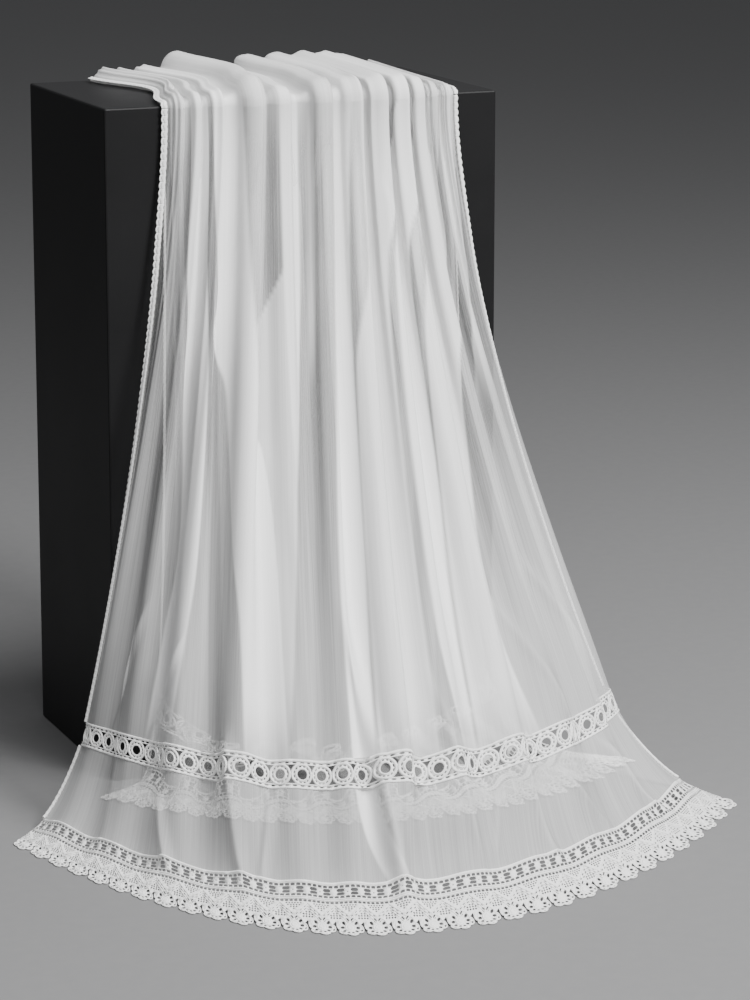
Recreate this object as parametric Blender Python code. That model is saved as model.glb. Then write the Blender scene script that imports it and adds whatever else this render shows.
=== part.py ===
"""A sheer white dupatta, doubled over a rectangular display plinth.

Metres, +Z up. The origin is the middle of the plinth's underside, and the front
face looks along -Y. The cloth is one length, folded across its middle. The fold
lies at the back of the plinth's top. The outer half runs forward over the top in
rolled folds, falls from the front edge and fans out to a curved hem on the floor.
The inner half lies under it, hangs close to the plinth and spreads on the floor.
Each half ends in a band of woven rings, a plain panel and a scalloped lace edging.
"""
import math

import bpy
import numpy as np
from mathutils import Vector
from mathutils.geometry import delaunay_2d_cdt

# Plinth
PLINTH_WIDTH = 0.46
PLINTH_DEPTH = 0.27
PLINTH_HEIGHT = 0.75
PLINTH_EDGE = 0.002  # bevel of its edges
FRONT = -PLINTH_DEPTH / 2

# Cut of the cloth
CLOTH_WIDTH = 1.10
BAND = 0.030  # ring band, edge to edge
PANEL = 0.100  # plain panel between the band and the edging
EDGING = 0.082  # lace edging, to the tips of its scallops
LACE_BEND, INNER_LACE_BEND = 0.050, 0.030  # where the edging comes down to the floor
CLOTH_WALL = 0.0012
LACE_WALL = 0.0016
SEAM = 0.0004  # clearance where two pieces are joined
LAYERS = 0.0026  # from one layer of cloth to the next where they nest
NESTED_RUN = 0.11  # the inner half leaves the outer one's folds this far down
HEM_WIDTH = 0.004
HEM_RISE = 0.0012  # the rolled hem stands this much above the cloth
INNER_HEM_RISE = 0.0003  # pressed flat under the outer half

# How the cloth lies on the plinth
LIFT = 0.0014 + CLOTH_WALL / 2  # the inner half's middle above the plinth
LEFT_AT_EDGE, RIGHT_AT_EDGE = -0.162, 0.176
FOLD_AT = 0.118  # y of the doubled edge
FOLD_FLARE = 0.016  # the cloth is this much wider at the fold, on the right
LEFT_BOW = 0.030  # the left edge bows in between the fold and the front edge

# The outer hem's plan on the floor: five control points of one smooth curve
OUTER_HEM = ((-0.400, -0.295), (-0.330, -0.560), (-0.212, -0.920), (0.180, -0.682), (0.376, -0.468))
# The inner hem's plan, with four
INNER_HEM = ((-0.270, -0.185), (-0.130, -0.420), (0.130, -0.465), (0.345, -0.290))

# Rows down a fall, from the front edge to the hem. run: metres of cloth below the
# edge; z: height, in the middle and at the sides; out: how far the cloth has moved
# from its line on the edge to its line on the floor, in the middle and at the sides
EDGE_Z = PLINTH_HEIGHT - PLINTH_EDGE
BAND_ROW = 5  # the row that the ring band starts at
FALL = 0.738  # cloth from the front edge to the outer ring band
INNER_FALL = 0.745
OUTER_ROWS = (
    # run, z middle, z sides, out middle, out sides
    (0.000, EDGE_Z, EDGE_Z, 0.000, 0.000),
    (0.004, EDGE_Z - 0.004, EDGE_Z - 0.004, 0.000, 0.000),
    (0.157, 0.594, 0.588, 0.077, 0.058),
    (0.332, 0.441, 0.424, 0.234, 0.177),
    (0.526, 0.290, 0.262, 0.448, 0.338),
    (FALL, 0.130, 0.100, 0.740, 0.535),
    (FALL + BAND, 0.106, 0.077, 0.775, 0.570),
    (FALL + BAND + PANEL, 0.030, 0.012, 0.880, 0.795),
    (FALL + BAND + PANEL + LACE_BEND, 0.010, 0.0022, 0.945, 0.915),
    (FALL + BAND + PANEL + 0.072, LACE_WALL / 2, LACE_WALL / 2, 0.984, 0.975),
    (FALL + BAND + PANEL + EDGING, LACE_WALL / 2, LACE_WALL / 2, 1.000, 1.000),
)
INNER_ROWS = (
    (0.000, EDGE_Z, EDGE_Z, 0.000, 0.000),
    (0.004, EDGE_Z - 0.004, EDGE_Z - 0.004, 0.000, 0.000),
    (0.250, 0.500, 0.500, 0.020, 0.030),
    (0.500, 0.252, 0.262, 0.050, 0.080),
    (0.680, 0.074, 0.150, 0.095, 0.140),
    (INNER_FALL, 0.014, 0.100, 0.160, 0.180),
    (INNER_FALL + BAND, 0.003, 0.072, 0.275, 0.215),
    (INNER_FALL + BAND + 0.050, LACE_WALL / 2, 0.030, 0.470, 0.280),
    (INNER_FALL + BAND + PANEL, LACE_WALL / 2, 0.006, 0.670, 0.380),
    (INNER_FALL + BAND + PANEL + INNER_LACE_BEND, LACE_WALL / 2, LACE_WALL / 2, 0.790, 0.620),
    (INNER_FALL + BAND + PANEL + EDGING, LACE_WALL / 2, LACE_WALL / 2, 1.000, 1.000),
)

# Folds, left to right. hem and edge: where the fold ends, as a share of the cloth's
# width and of its span on the front edge; steep and low: slope of the fold's sides in
# radians at the edge and at the ring band; lean: how far it leans over to the right
FOLDS = (
    # hem, edge, steep, low, lean
    (0.095, 0.060, 1.26, 0.38, 0.20),
    (0.180, 0.115, 1.28, 0.46, 0.25),
    (0.275, 0.180, 1.28, 0.66, 0.30),
    (0.360, 0.300, 1.38, 0.82, 0.36),
    (0.420, 0.450, 0.72, 0.46, 0.34),
    (0.472, 0.545, 1.38, 0.60, 0.34),
    (0.540, 0.640, 1.40, 1.12, 0.34),
    (0.622, 0.735, 1.40, 0.60, 0.22),
    (0.708, 0.820, 1.44, 0.76, 0.02),
    (0.800, 0.895, 1.40, 0.60, -0.12),
    (0.900, 0.950, 1.30, 0.54, -0.20),
    (1.000, 1.000, 1.05, 0.34, -0.22),
)
FOLD_ENDS = np.array([0.0] + [row[0] for row in FOLDS])
FOLD_MIDDLES = (FOLD_ENDS[1:] + FOLD_ENDS[:-1]) / 2
EDGE_ENDS = np.array([0.0] + [row[1] for row in FOLDS])
STEEP, LOW, LEAN = (np.array([row[i] for row in FOLDS]) for i in (2, 3, 4))
AT_LACE = 0.26  # slope of every fold's sides where the edging starts
INNER_WAVE = 0.40  # the same for the inner half's own waves, high on the fall

# Ring band and lace edging
RINGS = 42
RING_HOLE = 0.0042  # radius of a ring's open centre
GAP_DROP = 0.0072  # from the band's middle to the three-sided gaps between two rings
GAP_WIDTH, GAP_HEIGHT = 0.0034, 0.0026
SCALLOPS = 33
SCALLOP_DEPTH = 0.009
LACE_FLAT = 0.0145  # the outer edging lies flat from this far before its tips
WINDOW_WIDTH, WINDOW_HEIGHT = 0.0070, 0.0085  # openings beside the woven blocks
WINDOW_DROP = 0.0150  # from the edging's upper edge to the windows' middle


def eased(at, rows, column):
    """A smooth monotone curve through one column of a table, by its first column."""
    xs = np.array([row[0] for row in rows])
    ys = np.array([row[column] for row in rows])
    slopes = np.diff(ys) / np.diff(xs)
    inner = np.where(
        slopes[1:] * slopes[:-1] > 0,
        2 * slopes[1:] * slopes[:-1] / (slopes[1:] + slopes[:-1] + 1e-12),
        0.0,
    )
    tangents = np.concatenate([[slopes[0]], inner, [slopes[-1]]])
    at = np.clip(at, xs[0], xs[-1])
    i = np.clip(np.searchsorted(xs, at, side="right") - 1, 0, len(xs) - 2)
    step = xs[i + 1] - xs[i]
    t = (at - xs[i]) / step
    return (
        (1 + 2 * t) * (1 - t) ** 2 * ys[i]
        + t * (1 - t) ** 2 * step * tangents[i]
        + t * t * (3 - 2 * t) * ys[i + 1]
        + t * t * (t - 1) * step * tangents[i + 1]
    )


def curve_through(controls, t):
    """A Bezier curve's plan points at parameters t."""
    degree = len(controls) - 1
    x, y = 0.0, 0.0
    for k, (cx, cy) in enumerate(controls):
        weight = math.comb(degree, k) * t**k * (1 - t) ** (degree - k)
        x, y = x + weight * cx, y + weight * cy
    return x, y


# A fold in section is a meander: its direction swings as a sine of the cloth's
# length, which is how a gathered cloth bends. One table serves every fold
PHASES = np.linspace(0.0, 1.0, 121)
SWINGS = np.linspace(0.0, 1.58, 41)


def meander_tables():
    """Along and out positions for each swing and phase, per metre of base."""
    along, out = [], []
    for swing in SWINGS:
        angle = swing * np.sin(2 * math.pi * PHASES)
        x = np.concatenate([[0], np.cumsum((np.cos(angle[1:]) + np.cos(angle[:-1])) / 2)])
        y = np.concatenate([[0], np.cumsum((np.sin(angle[1:]) + np.sin(angle[:-1])) / 2)])
        along.append(x / x[-1])
        out.append(y / x[-1])
    return np.array(along), np.array(out)


ALONG, OUT = meander_tables()


def meander(swing, phase):
    """Where the cloth is, along and out from its base."""
    row = swing / SWINGS[-1] * (len(SWINGS) - 1)
    col = phase * (len(PHASES) - 1)
    i = np.clip(row.astype(int), 0, len(SWINGS) - 2)
    j = np.clip(col.astype(int), 0, len(PHASES) - 2)
    a, b = row - i, col - j

    def read(table):
        low = table[i, j] * (1 - b) + table[i, j + 1] * b
        high = table[i + 1, j] * (1 - b) + table[i + 1, j + 1] * b
        return low * (1 - a) + high * a

    return read(ALONG), read(OUT)


def unit(vectors):
    return vectors / np.linalg.norm(vectors, axis=-1, keepdims=True)


class Half:
    """One half of the cloth, from the doubled edge at the back to its hem."""

    def __init__(self, hem, rows, lift, over=None):
        self.hem, self.rows, self.lift, self.over = hem, rows, lift, over
        self.radius = PLINTH_EDGE + lift
        self.bend = self.radius * math.pi / 2
        self.top = FOLD_AT - (FRONT + PLINTH_EDGE)

    def base(self, run, share):
        """The line the folds stand on. run is 0 at the end of the front edge's bend."""
        # On the plinth
        back = np.clip(-(run + self.bend), 0, None)
        turn = np.clip(-run, 0, self.bend) / self.radius
        edge_share = np.interp(share, FOLD_ENDS, EDGE_ENDS)
        to_fold = np.clip(back / self.top, 0, 1)
        left = LEFT_AT_EDGE + LEFT_BOW * np.sin(math.pi * to_fold) ** 2
        right = RIGHT_AT_EDGE + FOLD_FLARE * to_fold
        x = left + (right - left) * edge_share
        y = FRONT + PLINTH_EDGE + back - self.radius * np.cos(turn)
        z = EDGE_Z + self.radius * np.sin(turn)
        # Down the fall
        down = np.clip(run, 0, None)
        middle = 1 - (2 * share - 1) ** 2
        z_fall = self.between(down, 1, middle)
        out = self.between(down, 3, middle)
        hem_x, hem_y = curve_through(self.hem, share)
        x = np.where(run > 0, x + (hem_x - x) * out, x)
        y = np.where(run > 0, y + (hem_y - y) * out, y)
        z = np.where(run > 0, z_fall, z)
        line = np.stack([x, y, z], axis=-1)
        if self.over:
            line = line + (self.over.base(run, share) - line) * self.nested(run)[..., None]
        return line

    def between(self, down, column, middle):
        sides = eased(down, self.rows, column + 1)
        return sides + (eased(down, self.rows, column) - sides) * middle

    def swing(self, run, fold):
        """Slope of a fold's sides at a run, in radians."""
        band = self.rows[BAND_ROW][0]
        down = np.clip(run / band, 0, 1)
        if self.over:
            wave = INNER_WAVE * (1 - down**2)
            return wave + (self.over.swing(run, fold) - wave) * self.nested(run)
        swing = LOW[fold] + (STEEP[fold] - LOW[fold]) * (1 - down**2.2)
        to_lace = np.clip((run - band) / (BAND + PANEL), 0, 1)
        swing = swing + (AT_LACE - swing) * to_lace
        return swing * (1 - np.clip((run - band - BAND - PANEL) / (EDGING - 0.020), 0, 1))

    def nested(self, run):
        """How far the inner half still fills the outer one's folds, from 1 to 0."""
        t = np.clip(run / NESTED_RUN, 0, 1)
        return 1 - t * t * (3 - 2 * t)

    def surface(self, run, share):
        """The cloth's own points, with its folds."""
        run, share = np.broadcast_arrays(np.asarray(run, float), np.asarray(share, float))
        fold = np.clip(np.searchsorted(FOLD_ENDS, share, side="right") - 1, 0, len(FOLDS) - 1)
        start, end = FOLD_ENDS[fold], FOLD_ENDS[fold + 1]
        along, out = meander(self.swing(run, fold), (share - start) / (end - start))
        span = np.linalg.norm(self.base(run, end) - self.base(run, start), axis=-1)
        rise = out * span
        at = start + along * (end - start)
        tangent, normal = self.axes(run, at)
        lean = np.interp(share, FOLD_MIDDLES, LEAN) * rise
        return self.base(run, at) + tangent * lean[..., None] + normal * rise[..., None]

    def grid(self, runs, shares):
        """Points of a stretch of cloth, row by row, with its skins' directions."""
        run, share = np.meshgrid(runs, shares, indexing="ij")
        points = self.surface(run, share)
        small = 2e-4
        down = unit(self.surface(run + small, share) - self.surface(run - small, share))
        if self.over:
            depth = LAYERS * np.minimum(1, 2 * self.nested(run))
            points = points - self.outward(points, down, run, share) * depth[..., None]
        return points, self.outward(points, down, run, share)

    def outward(self, points, down, run, share):
        """The skins' directions on a grid: mitred inside, square to the base at its two sides."""
        across = unit(np.diff(points, axis=1))
        both = across[:, :-1] + across[:, 1:]
        turn = np.linalg.norm(both, axis=-1, keepdims=True) / 2
        made = self.axes(run, share)[1]
        made[:, 1:-1] = unit(np.cross(down[:, 1:-1], both)) / np.clip(turn, 0.6, 1)
        return made

    def axes(self, run, share):
        """The base's directions along the width and outwards."""
        small = 1e-4
        run = np.minimum(run, self.rows[-1][0] - 2 * small)
        width = self.base(run, np.clip(share + small, 0, 1)) - self.base(run, np.clip(share - small, 0, 1))
        length = self.base(run + small, share) - self.base(run - small, share)
        return unit(width), unit(np.cross(length, width))

    def skin(self, run, share):
        """Points and outward normals of the folded cloth."""
        small = 2e-4
        right, left = np.clip(share + small, 0, 1), np.clip(share - small, 0, 1)
        width = self.surface(run, right) - self.surface(run, left)
        length = self.surface(run + small, share) - self.surface(run - small, share)
        return self.surface(run, share), unit(np.cross(length, width))


OUTER = Half(OUTER_HEM, OUTER_ROWS, LIFT + LAYERS)
INNER = Half(INNER_HEM, INNER_ROWS, LIFT, OUTER)


def joined(first, inside_rows, last):
    """Rows of a stretch, half a seam short of its neighbours at each end."""
    return np.array([first + SEAM / 2, *inside_rows, last - SEAM / 2])


# Rows of cloth that the walls and their hems share
TOP_RUNS = -OUTER.bend - np.array([1.0, 0.66, 0.33, 0.0]) * OUTER.top
TOP_RUNS = np.concatenate([TOP_RUNS, [-OUTER.bend / 2, -SEAM / 2]])
OUTER_FALL_RUNS = joined(0.0, (0.05, 0.12, 0.22, 0.34, 0.47, 0.61), FALL)
OUTER_PANEL_RUNS = joined(FALL + BAND, [FALL + BAND + PANEL / 2], FALL + BAND + PANEL)
INNER_FALL_RUNS = joined(0.0, (0.05, 0.12, 0.36, 0.60, 0.69), INNER_FALL)
INNER_START = INNER_FALL + BAND
INNER_PANEL_RUNS = joined(INNER_START, INNER_START + PANEL * np.array([1, 2]) / 3, INNER_START + PANEL)


def material(name, colour, roughness):
    made = bpy.data.materials.new(name)
    made.use_nodes = True
    shader = made.node_tree.nodes["Principled BSDF"]
    shader.inputs["Base Color"].default_value = (*colour, 1)
    shader.inputs["Roughness"].default_value = roughness
    return made


def add_mesh(name, points, faces, finish):
    mesh = bpy.data.meshes.new(name)
    mesh.from_pydata([tuple(p) for p in points], [], faces)
    mesh.update()
    made = bpy.data.objects.new(name, mesh)
    mesh.materials.append(finish)
    bpy.context.scene.collection.objects.link(made)
    return made


def wall(name, points, normals, faces, thickness, finish):
    """A closed wall on a mesh of middle points: two skins and a rim round every border."""
    outer = points + normals * thickness / 2
    inner = points - normals * thickness / 2
    count = len(points)
    skins = [tuple(face) for face in faces]
    skins += [tuple(count + i for i in reversed(face)) for face in faces]
    sides = {(a, b): None for face in faces for a, b in zip(face, face[1:] + face[:1])}
    rims = [(b, a, count + a, count + b) for a, b in sides if (b, a) not in sides]
    return add_mesh(name, np.concatenate([outer, inner]), skins + rims, finish)


def columns(each):
    """Shares of the width with the same number of steps in every fold."""
    steps = [np.linspace(a, b, each, endpoint=False) for a, b in zip(FOLD_ENDS, FOLD_ENDS[1:])]
    return np.concatenate(steps + [[1.0]])


def grid_faces(rows, cols):
    """Triangles over a grid, facing outwards, with the same diagonal everywhere."""
    faces = []
    for r in range(rows - 1):
        for c in range(cols - 1):
            corner, under = r * cols + c, (r + 1) * cols + c
            faces += [(corner, under, under + 1), (corner, under + 1, corner + 1)]
    return faces


def sheet(name, points, directions, finish):
    """A stretch of plain cloth over a grid of its middle points."""
    rows, cols = points.shape[:2]
    faces = grid_faces(rows, cols)
    return wall(name, points.reshape(-1, 3), directions.reshape(-1, 3), faces, CLOTH_WALL, finish)


def cloth(name, half, runs, shares, finish, hem_finish, hem_rise):
    """A stretch of plain cloth with a rolled hem along each side."""
    points, directions = half.grid(runs, shares)
    sheet(name, points, directions, finish)
    side_hems(name, half, runs, points, hem_finish, hem_rise)


def pierced(name, half, outline, holes, guides, finish):
    """A lace wall inside an outline with holes, both in metres across and down."""
    flat, edges = [], []
    for loop in [outline] + holes:
        first = len(flat)
        flat += [Vector(p) for p in loop]
        edges += [(first + i, first + (i + 1) % len(loop)) for i in range(len(loop))]
    flat += [Vector(p) for p in guides]
    made = delaunay_2d_cdt(flat, edges, [], 1, 1e-7)
    corners = np.array([tuple(p) for p in made[0]])
    middles = np.array([hole_middle(loop) for loop in holes]) if holes else np.zeros((0, 2))
    faces = []
    for face in made[2]:
        centre = corners[list(face)].mean(axis=0)
        near = [loop for loop, m in zip(holes, middles) if abs(m - centre).max() < 0.02]
        if not any(inside(centre, loop) for loop in near):
            faces.append(tuple(reversed(face)))
    points, normals = half.skin(corners[:, 1], corners[:, 0] / CLOTH_WIDTH)
    return wall(name, points, normals, faces, LACE_WALL, finish)


def hole_middle(loop):
    return (sum(p[0] for p in loop) / len(loop), sum(p[1] for p in loop) / len(loop))


def inside(point, loop):
    """Whether a flat point is inside a convex loop."""
    x, y = point
    sides = [
        (bx - ax) * (y - ay) - (by - ay) * (x - ax) > 0
        for (ax, ay), (bx, by) in zip(loop, loop[1:] + loop[:1])
    ]
    return all(sides) or not any(sides)


def polygon(x, y, wide, high, sides, turn=0.0):
    """A convex hole of any number of sides round a middle point."""
    angles = [turn + 2 * math.pi * i / sides for i in range(sides)]
    return [(x + wide * math.cos(a), y + high * math.sin(a)) for a in angles]


def build_plinth(finish):
    bpy.ops.mesh.primitive_cube_add(size=1, location=(0, 0, PLINTH_HEIGHT / 2))
    plinth = bpy.context.object
    plinth.name = "plinth"
    plinth.scale = (PLINTH_WIDTH, PLINTH_DEPTH, PLINTH_HEIGHT)
    bpy.ops.object.transform_apply(location=False, rotation=False, scale=True)
    edge = plinth.modifiers.new("edges", "BEVEL")
    edge.width = PLINTH_EDGE
    edge.segments = 2
    plinth.data.materials.append(finish)


def build_top(finish, hem_finish):
    """The rolled stretch on the plinth: the outer layer, the doubled edge, the inner layer."""
    outer, up = OUTER.grid(TOP_RUNS, columns(6))
    inner, inner_up = INNER.grid(TOP_RUNS, columns(6))
    back = np.broadcast_to([0.0, 1.0, 0.0], outer[:1].shape)
    turn = (inner[:1] + outer[:1]) / 2 + back * LAYERS / 2
    points = np.concatenate([inner[::-1], turn, outer])
    sheet("top_stretch", points, np.concatenate([-inner_up[::-1], back, up]), finish)
    side_hems("top", OUTER, TOP_RUNS, outer, hem_finish, HEM_RISE)


def ring_band(name, half, start, each, finish, gaps=True):
    """A band of woven rings with open centres, and star-shaped gaps between them."""
    pitch = CLOTH_WIDTH / RINGS
    low, high = start + SEAM / 2, start + BAND - SEAM / 2
    middle = (low + high) / 2
    across = columns(each) * CLOTH_WIDTH
    outline = [(x, low) for x in across] + [(x, high) for x in across[::-1]]
    sides = 6 if gaps else 4
    holes = []
    for i in range(RINGS):
        holes.append(polygon((i + 0.5) * pitch, middle, RING_HOLE * 1.15, RING_HOLE, sides))
        if gaps and i:
            for side in (-1, 1):
                y = middle + side * GAP_DROP
                holes.append(polygon(i * pitch, y, GAP_WIDTH, GAP_HEIGHT, 3, -side * math.pi / 2))
    pierced(name, half, outline, holes, [], finish)


def lace_edging(name, half, start, each, finish, windows=True):
    """The scalloped edging, with the windows on each side of its woven blocks."""
    pitch = CLOTH_WIDTH / SCALLOPS
    low, tips = start + SEAM / 2, start + EDGING
    across = np.linspace(0, CLOTH_WIDTH, 2 * SCALLOPS + 1)
    outline = [(x, low) for x in columns(each) * CLOTH_WIDTH]
    for i in reversed(range(SCALLOPS)):
        for turn in (0.5, 0.42, 0.22, 0.0, -0.22, -0.42) if windows else (0.5, 0.36, 0.0, -0.36):
            depth = SCALLOP_DEPTH * (1 - math.sqrt(max(0.0, 1 - (2 * turn) ** 2)))
            outline.append(((i + 0.5 + turn) * pitch, tips - depth))
    outline.append((0.0, tips - SCALLOP_DEPTH))
    holes = []
    wide, high = WINDOW_WIDTH / math.sqrt(2), WINDOW_HEIGHT / math.sqrt(2)
    for i in range(SCALLOPS * 2 if windows else 0):
        x, y = (i + 0.5) * pitch / 2, low + WINDOW_DROP
        holes.append(polygon(x, y, wide, high, 4, math.pi / 4))
    bends = (LACE_BEND, EDGING - LACE_FLAT) if windows else (INNER_LACE_BEND,)
    guides = [(x, start + bend) for bend in bends for x in across[1:-1:2]]
    guides += [(x, start + bends[-1]) for x in (0.0005, CLOTH_WIDTH - 0.0005)]
    pierced(name, half, outline, holes, guides, finish)


def side_hems(name, half, runs, points, finish, rise):
    """A rolled hem along the left and the right side of a grid of cloth."""
    for side, share, column, away in (("left", 0.0, 0, -1), ("right", 1.0, -1, 1)):
        across, up = half.axes(np.asarray(runs), share)
        rolled_hem(f"hem_{name}_{side}", points[:, column], across * away, up, finish, rise)


def rolled_hem(name, at, away, up, finish, rise):
    """A closed bar beside the cloth's edge: flat under, crowned over."""
    near, far = at + away * SEAM, at + away * (SEAM + HEM_WIDTH)
    under, over = -up * CLOTH_WALL / 2, up * (CLOTH_WALL / 2 + rise)
    corners = [near + under, far + under, far + over * 0.6, (near + far) / 2 + over, near + over * 0.6]
    sides, stations = len(corners), len(at)
    points = np.stack(corners, axis=1).reshape(-1, 3)
    faces = [tuple(reversed(range(sides)))]
    for i in range(stations - 1):
        for k in range(sides):
            a, b = i * sides + k, i * sides + (k + 1) % sides
            faces.append((a, b, b + sides, a + sides))
    faces.append(tuple((stations - 1) * sides + k for k in range(sides)))
    turn_outwards(add_mesh(name, points, faces, finish).data)


def turn_outwards(mesh):
    """Flips every face when the closed mesh is inside out, by the sign of its volume."""
    volume = 0.0
    for face in mesh.polygons:
        corners = [mesh.vertices[i].co for i in face.vertices]
        for b, c in zip(corners[1:], corners[2:]):
            volume += corners[0].dot(b.cross(c))
    if volume < 0:
        mesh.flip_normals()


def build():
    for old in list(bpy.data.objects):
        bpy.data.objects.remove(old, do_unlink=True)
    black = material("satin black lacquer", (0.012, 0.012, 0.013), 0.45)
    chiffon = material("white chiffon", (0.86, 0.86, 0.85), 0.85)
    lace = material("white cotton lace", (0.90, 0.90, 0.89), 0.9)

    build_plinth(black)
    build_top(chiffon, lace)
    cloth("outer_fall", OUTER, OUTER_FALL_RUNS, columns(6), chiffon, lace, HEM_RISE)
    ring_band("outer_ring_band", OUTER, FALL, 6, lace)
    cloth("outer_panel", OUTER, OUTER_PANEL_RUNS, columns(6), chiffon, lace, HEM_RISE)
    lace_edging("outer_lace_edging", OUTER, FALL + BAND + PANEL, 6, lace)

    cloth("inner_fall", INNER, INNER_FALL_RUNS, columns(6), chiffon, lace, INNER_HEM_RISE)
    ring_band("inner_ring_band", INNER, INNER_FALL, 3, lace, gaps=False)
    cloth("inner_panel", INNER, INNER_PANEL_RUNS, columns(3), chiffon, lace, INNER_HEM_RISE)
    lace_edging("inner_lace_edging", INNER, INNER_START + PANEL, 3, lace, windows=False)


build()
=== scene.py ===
"""Looks of a sheer white dupatta, doubled over a satin black display plinth.

Metres, +Z up; the front face of the plinth looks along -Y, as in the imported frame.
"""
import math

import bpy
import numpy as np
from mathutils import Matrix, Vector
from mathutils.geometry import delaunay_2d_cdt


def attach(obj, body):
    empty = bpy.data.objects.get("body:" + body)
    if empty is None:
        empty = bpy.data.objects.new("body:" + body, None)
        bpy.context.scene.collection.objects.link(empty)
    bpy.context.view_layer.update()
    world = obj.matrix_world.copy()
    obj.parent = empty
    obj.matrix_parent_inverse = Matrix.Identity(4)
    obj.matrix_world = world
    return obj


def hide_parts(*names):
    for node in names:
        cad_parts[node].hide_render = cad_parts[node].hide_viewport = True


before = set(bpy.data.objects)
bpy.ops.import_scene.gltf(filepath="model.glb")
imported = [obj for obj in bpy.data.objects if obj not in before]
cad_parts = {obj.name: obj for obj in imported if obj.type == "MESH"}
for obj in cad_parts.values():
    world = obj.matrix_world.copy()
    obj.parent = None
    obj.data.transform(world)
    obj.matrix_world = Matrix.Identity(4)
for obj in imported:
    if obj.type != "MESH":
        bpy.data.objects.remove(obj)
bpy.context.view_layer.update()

# Camera
# A long lens a little above the cloth and to its left, looking slightly down
TURN, TILT = math.radians(22.66), math.radians(11.67)
DISTANCE, EYE = 3.75, 1.1825
LOOKS_AT = (0.0833, -0.135)
camera_data = bpy.data.cameras.new("camera")
camera_data.sensor_width = 36
camera_data.lens = 122.86
camera_data.shift_y = -0.10
camera = bpy.data.objects.new("camera", camera_data)
camera.location = (LOOKS_AT[0] - DISTANCE * math.sin(TURN), LOOKS_AT[1] - DISTANCE * math.cos(TURN), EYE)
camera.rotation_euler = (math.pi / 2 - TILT, 0, -TURN)
bpy.context.scene.collection.objects.link(camera)
bpy.context.scene.camera = camera


# Floor
# A wide matt floor of pale grey paper, the only thing round the plinth
class Value:
    """A shader socket on which sums and products add Math nodes."""

    def __init__(self, finish, socket):
        self.finish, self.socket = finish, socket

    def joined(self, operation, *values):
        made = self.finish.node("ShaderNodeMath", {"operation": operation}, dict(enumerate(values)))
        return Value(self.finish, made.outputs[0])

    def __add__(self, other):
        return self.joined("ADD", self, other)

    def __sub__(self, other):
        return self.joined("SUBTRACT", self, other)

    def __rsub__(self, other):
        return self.joined("SUBTRACT", other, self)

    def __mul__(self, other):
        return self.joined("MULTIPLY", self, other)

    __radd__ = __add__
    __rmul__ = __mul__

    def clamped(self, low, high):
        return self.joined("MINIMUM", self.joined("MAXIMUM", self, low), high)


class Finish:
    """A material in the making."""

    def __init__(self, name, colour, roughness):
        self.material = bpy.data.materials.new(name)
        self.material.use_nodes = True
        self.tree = self.material.node_tree
        self.surface = self.tree.nodes["Principled BSDF"]
        self.set(self.surface, {"Base Color": (*colour, 1), "Roughness": roughness})

    def node(self, kind, settings=(), sockets=()):
        made = self.tree.nodes.new(kind)
        for key, value in dict(settings).items():
            setattr(made, key, value)
        self.set(made, sockets)
        return made

    def set(self, node, sockets):
        for key, value in dict(sockets).items():
            if isinstance(value, Value):
                self.tree.links.new(value.socket, node.inputs[key])
            else:
                node.inputs[key].default_value = value

    def out(self, node, name=0):
        return Value(self, node.outputs[name])

    def place(self, source, scale):
        """Object or UV coordinates, scaled."""
        coordinates = self.out(self.node("ShaderNodeTexCoord"), source)
        return self.out(self.node("ShaderNodeMapping", (), {"Vector": coordinates, "Scale": scale}))

    def noise(self, source, scale, detail=3, roughness=0.5):
        """Uneven values round one half, at so many lumps a metre along each axis."""
        made = self.node(
            "ShaderNodeTexNoise",
            (),
            {"Vector": self.place(source, scale), "Scale": 1, "Detail": detail, "Roughness": roughness},
        )
        return self.out(made)

    def colour(self, amount, low, high):
        """A colour between two."""
        made = self.node("ShaderNodeMix", {"data_type": "RGBA"}, {0: amount, 6: (*low, 1), 7: (*high, 1)})
        return self.out(made, 2)

    def relief(self, height, depth, strength=1.0):
        bump = self.node("ShaderNodeBump", (), {"Height": height, "Distance": depth, "Strength": strength})
        self.set(self.surface, {"Normal": self.out(bump)})


paper = Finish("pale grey paper", (0.19, 0.19, 0.19), 0.95)
grain = paper.noise("Object", (60, 60, 60), 5)
paper.set(paper.surface, {"Base Color": paper.colour(grain, (0.180, 0.180, 0.183), (0.200, 0.200, 0.200))})
REACH = 30
floor_mesh = bpy.data.meshes.new("floor")
corners = [(-REACH, -REACH, 0), (REACH, -REACH, 0), (REACH, REACH, 0), (-REACH, REACH, 0)]
floor_mesh.from_pydata(corners, [], [(0, 1, 2, 3)])
floor_mesh.materials.append(paper.material)
floor = bpy.data.objects.new("floor", floor_mesh)
bpy.context.scene.collection.objects.link(floor)


# Studio light
# A large soft lamp high on the right, weaker ones in front and overhead, and pale
# surroundings
def lamp(name, at, towards, size, watts):
    made = bpy.data.lights.new(name, "AREA")
    made.shape, made.size, made.energy = "DISK", size, watts
    lit = bpy.data.objects.new(name, made)
    lit.location = at
    lit.rotation_euler = (Vector(towards) - Vector(at)).to_track_quat("-Z", "Y").to_euler()
    bpy.context.scene.collection.objects.link(lit)


lamp("key lamp", (1.3, -2.8, 2.9), (0, -0.2, 0.35), 1.4, 205)
lamp("fill lamp", (-1.3, -3.6, 2.2), (0, -0.2, 0.4), 2.0, 42)
lamp("top lamp", (0.4, -0.9, 3.2), (0, -0.3, 0.4), 1.3, 80)
world = bpy.data.worlds.new("pale room")
world.use_nodes = True
backdrop = world.node_tree.nodes["Background"]
backdrop.inputs["Color"].default_value = (0.80, 0.81, 0.83, 1)
backdrop.inputs["Strength"].default_value = 0.23
bpy.context.scene.world = world

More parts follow.
